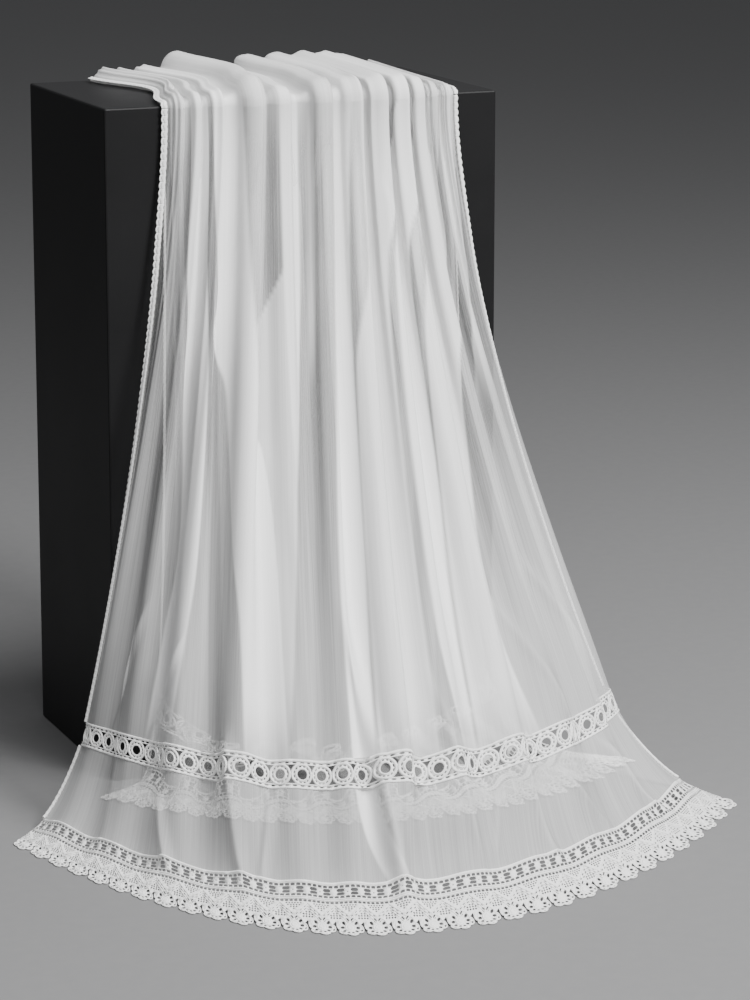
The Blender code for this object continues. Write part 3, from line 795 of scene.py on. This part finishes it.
def lace_piece(name, half, start, plate_row, cord_row, node):
    """A row of lace put on the drape: a thin plate with cords over it."""
    points, faces = plate_row
    count = len(points)
    upper, lower = points + [0, start, PLATE / 2], points + [0, start, -PLATE / 2]
    uses = set()
    for face in faces:
        uses.update(zip(face, face[1:] + face[:1]))
    rims = [(b, a, count + a, count + b) for a, b in uses if (b, a) not in uses]
    skins = list(faces) + [tuple(count + i for i in reversed(face)) for face in faces]
    cords = (cord_row[0] + [0, start, 0], cord_row[1])
    flat, shell = joined([(np.vstack([upper, lower]), skins + rims), cords])
    flat = np.array(flat)
    made = linked(name, half.place(flat), shell, cotton, flat[:, :2])
    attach(made, "root")
    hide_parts(node)
    return made


RINGS = 42
RING_PITCH = CLOTH_WIDTH / RINGS
MIDDLE = BAND / 2
STRIP = 0.0050
RING_WIDE, RING_HIGH = 0.0134, 0.0116


def ring_motif():
    """One ring between two corded strips, with half of the gaps on each side of it."""
    half = RING_PITCH / 2
    turns = np.linspace(math.asin((MIDDLE - STRIP) / RING_HIGH), math.acos(half / RING_WIDE), 6)
    corner = [(-RING_WIDE * math.cos(a), MIDDLE - RING_HIGH * math.sin(a)) for a in turns]
    corner[-1] = (-half, corner[-1][1])
    side = [(-half, 0.0), (-half, STRIP)] + corner + [(x, BAND - y) for x, y in reversed(corner)]
    side += [(-half, BAND - STRIP), (-half, BAND)]
    outline = [(-x, y) for x, y in side] + list(reversed(side))
    holes = [loop(0, MIDDLE, 0.0060, 0.0052, 14)]
    for i in range(12):
        a = (i + 0.5) * math.pi / 6
        x, y = 0.0095 * math.cos(a), MIDDLE + 0.0082 * math.sin(a)
        holes.append(oval(x, y, 0.0018, 0.0008, a + math.pi / 2))
    for x in (-RING_PITCH / 3, 0.0, RING_PITCH / 3):
        for y in (0.0033, BAND - 0.0033):
            holes.append(loop(x, y, 0.0029, 0.0010, 6))
    return plate(outline, holes)


def ring_cords():
    """The ring's two cords and the corded edges."""
    half = RING_PITCH / 2
    parts = [
        cord(loop(0, MIDDLE, 0.0070, 0.0062, 18), 0.0009, 0.0004, True),
        cord(loop(0, MIDDLE, 0.0119, 0.0103, 24), 0.0011, 0.0005, True),
    ]
    across = np.linspace(-half, half, 7)
    for y, radius in ((0.0010, 0.0013), (0.0048, 0.0006), (BAND - 0.0048, 0.0006), (BAND - 0.0010, 0.0013)):
        parts.append(cord([(x, y) for x in across], radius, 0.0004))
    return joined(parts)


ring_plate = repeated("ring_plate", ring_motif(), RINGS, RING_PITCH)
ring_cord = repeated("ring_cord", ring_cords(), RINGS, RING_PITCH)
for row in (ring_plate, ring_cord):
    row[0][:, 0] += RING_PITCH / 2
outer_rings = lace_piece("outer_rings", OUTER, FALL, ring_plate, ring_cord, "outer_ring_band")
inner_rings = lace_piece("inner_rings", INNER, INNER_FALL, ring_plate, ring_cord, "inner_ring_band")

# Lace edgings
# A deep cotton edging: a corded header, woven blocks between rows of square holes,
# a rib, a zigzag over net, and scallops round small flowers with looped tips
SCALLOPS = 33
SCALLOP = CLOTH_WIDTH / SCALLOPS
FLOWER = 0.0645
NET = 0.0034
NET_HOLE = (0.00152, 0.00138, 4)
ZIGZAG, ZIGZAG_DROP = 0.0335, 0.0165


def rim(inwards):
    """The lobed lower edge of a scallop, from right to left, so far inside its outline."""
    edge = []
    for i in range(43):
        a = math.radians(5 * i - 15)
        reach = 0.0128 + 0.0038 * abs(math.cos(6 * (a - math.radians(15)) / 2)) ** 0.8 - inwards
        x = min(SCALLOP / 2 - 0.0006 - inwards, reach * math.cos(a))
        edge.append((max(x, inwards + 0.0006 - SCALLOP / 2), FLOWER + reach * 1.02 * math.sin(a)))
    return edge


def edging_motif():
    """One scallop's worth of the edging, from its header to its tips."""
    half = SCALLOP / 2
    levels = [0.0, 0.0115, 0.0265, 0.0480, FLOWER - 0.0070]
    outline = [(half, y) for y in levels] + rim(0.0) + [(-half, y) for y in reversed(levels)] + [(0.0, 0.0)]
    holes = []
    for i in range(5):
        holes.append(window((i - 2) * SCALLOP / 5, 0.0064, 0.0026, 0.0022))
        holes.append(window((i - 2) * SCALLOP / 5, 0.0226, 0.0026, 0.0022))
    for i in range(6):
        holes.append(window((i - 2.5) * SCALLOP / 6, 0.0313, 0.0022, 0.0018))
    for x in (-half / 2, half / 2):
        holes += [window(x, 0.0117, 0.0046, 0.0026), window(x, 0.0173, 0.0046, 0.0026)]
    holes.append(loop(0, 0.0145, 0.0012, 0.0010, 4))
    for row in range(4):
        y = 0.0354 + row * 0.0029
        reach = half - 0.0046 - (y - ZIGZAG) * half / ZIGZAG_DROP
        count = int(2 * reach / NET) + 1
        holes += [loop((i - (count - 1) / 2) * NET, y, *NET_HOLE) for i in range(count)]
    for row, count in enumerate((1, 2, 2)):
        y = 0.0480 + row * 0.0029
        for x in (half - 0.0018 - i * NET for i in range(count)):
            holes += [loop(x, y, *NET_HOLE), loop(-x, y, *NET_HOLE)]
    slope = math.atan2(ZIGZAG_DROP, half)
    for t in (0.19, 0.50, 0.81):
        for drop in (0.0038, 0.0078):
            y = ZIGZAG + drop + t * ZIGZAG_DROP
            holes += [oval(side * half * (1 - t), y, 0.0024, 0.0008, -side * slope, 4) for side in (-1, 1)]
    for i in range(10):
        a = math.pi / 2 + (i + 0.5) * math.pi / 5
        holes.append(oval(0.0092 * math.cos(a), FLOWER + 0.0088 * math.sin(a), 0.0027, 0.0019, a))
    for i in range(6):
        a = math.radians(15 + 30 * i)
        holes.append(oval(0.0139 * math.cos(a), FLOWER + 0.0142 * math.sin(a), 0.0012, 0.0018, a))
    return plate(outline, holes)


def edging_cords():
    """The raised cords of one scallop's worth of the edging."""
    half = SCALLOP / 2
    parts = []
    across = np.linspace(-half, half, 7)
    straight = (
        # how far down, and how thick
        (0.0018, 0.0018),
        (0.0038, 0.0005),
        (0.0089, 0.0005),
        (0.0201, 0.0005),
        (0.0253, 0.0011),
        (0.0281, 0.0011),
    )
    for y, radius in straight:
        parts.append(cord([(x, y) for x in across], radius, 0.0005))
    for drop in (0.0016, 0.0058, 0.0099):
        y = ZIGZAG + drop
        turn = y + ZIGZAG_DROP / 2
        arms = [(-half, y), (-half / 2, turn), (0, y + ZIGZAG_DROP), (half / 2, turn), (half, y)]
        parts.append(cord(arms, 0.0008, 0.0005))
    parts.append(cord(loop(0, FLOWER, 0.0053, 0.0050, 12), 0.0008, 0.0004, True))
    parts.append(cord(loop(0, FLOWER, 0.0122, 0.0118, 22), 0.0006, 0.0004, True))
    parts.append(cord(loop(0, FLOWER, 0.0026, 0.0024, 8), 0.0012, 0.0005, True))
    parts.append(cord(rim(0.0006), 0.0008, 0.0004))
    return joined(parts)


edging_plate = repeated("edging_plate", edging_motif(), SCALLOPS, SCALLOP)
edging_cord = repeated("edging_cord", edging_cords(), SCALLOPS, SCALLOP)
for row in (edging_plate, edging_cord):
    row[0][:, 0] += SCALLOP / 2
outer_lace = lace_piece(
    "outer_lace", OUTER, PANEL_START + PANEL, edging_plate, edging_cord, "outer_lace_edging"
)
inner_lace = lace_piece(
    "inner_lace", INNER, INNER_PANEL_START + PANEL, edging_plate, edging_cord, "inner_lace_edging"
)

# Rolled hems
# Each long side is rolled over a cord and whipped, which pulls it into small picots
PICOT, HEM_LONGEST = 0.0076, 0.80
SLIM = 0.4


def hem_motif():
    """One picot's length of hem, along x: the roll and the small loop beside it."""
    along = np.linspace(0, PICOT, 7)
    wave = [(x, 0.0006 + 0.0009 * math.sin(math.pi * x / PICOT) ** 2) for x in along]
    picot = [(x, 0.0026 + 0.0016 * math.sin(math.pi * x / PICOT)) for x in along]
    return joined([cord(wave, 0.0018, 0.0002, sides=8, flat=0.9), cord(picot, 0.0010, 0.0002)])


hem_row = repeated("hem_motif", hem_motif(), int(HEM_LONGEST / PICOT) + 1, PICOT)


def hem(name, half, start, end, right, node):
    """A hem along one side of a stretch, from one run to another."""
    points, faces = hem_row
    slim = SLIM if half is INNER else 1.0
    share = (points[:, 0] - points[:, 0].min()) / np.ptp(points[:, 0])
    count = max(1, round((end - start) / PICOT)) * PICOT / np.ptp(points[:, 0])
    kept = [face for face in faces if max(share[list(face)]) <= count + 1e-6]
    used = sorted(set(i for face in kept for i in face))
    index = {old: new for new, old in enumerate(used)}
    run = start + (end - start) * share / count
    beside = points[:, 1] * slim + 0.0004
    side = CLOTH_WIDTH + beside if right else -beside
    flat = np.stack([side, np.minimum(run, end), points[:, 2] * slim], axis=-1)
    faces = [tuple(index[i] for i in (reversed(face) if right else face)) for face in kept]
    made = linked(name, half.place(flat)[used], faces, cotton, flat[used, :2])
    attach(made, "root")
    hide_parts(node)


HEMMED = (
    # stretch, its half, and the runs between which it is hemmed
    ("top", OUTER, -OUTER.bend - OUTER.top, 0.0),
    ("outer_fall", OUTER, 0.0, FALL),
    ("outer_panel", OUTER, PANEL_START, PANEL_START + PANEL),
    ("inner_fall", INNER, 0.0, INNER_FALL),
    ("inner_panel", INNER, INNER_PANEL_START, INNER_PANEL_START + PANEL),
)
for side in ("left", "right"):
    for place, half, start, end in HEMMED:
        hem(f"{place}_hem_{side}", half, start, end, side == "right", f"hem_{place}_{side}")
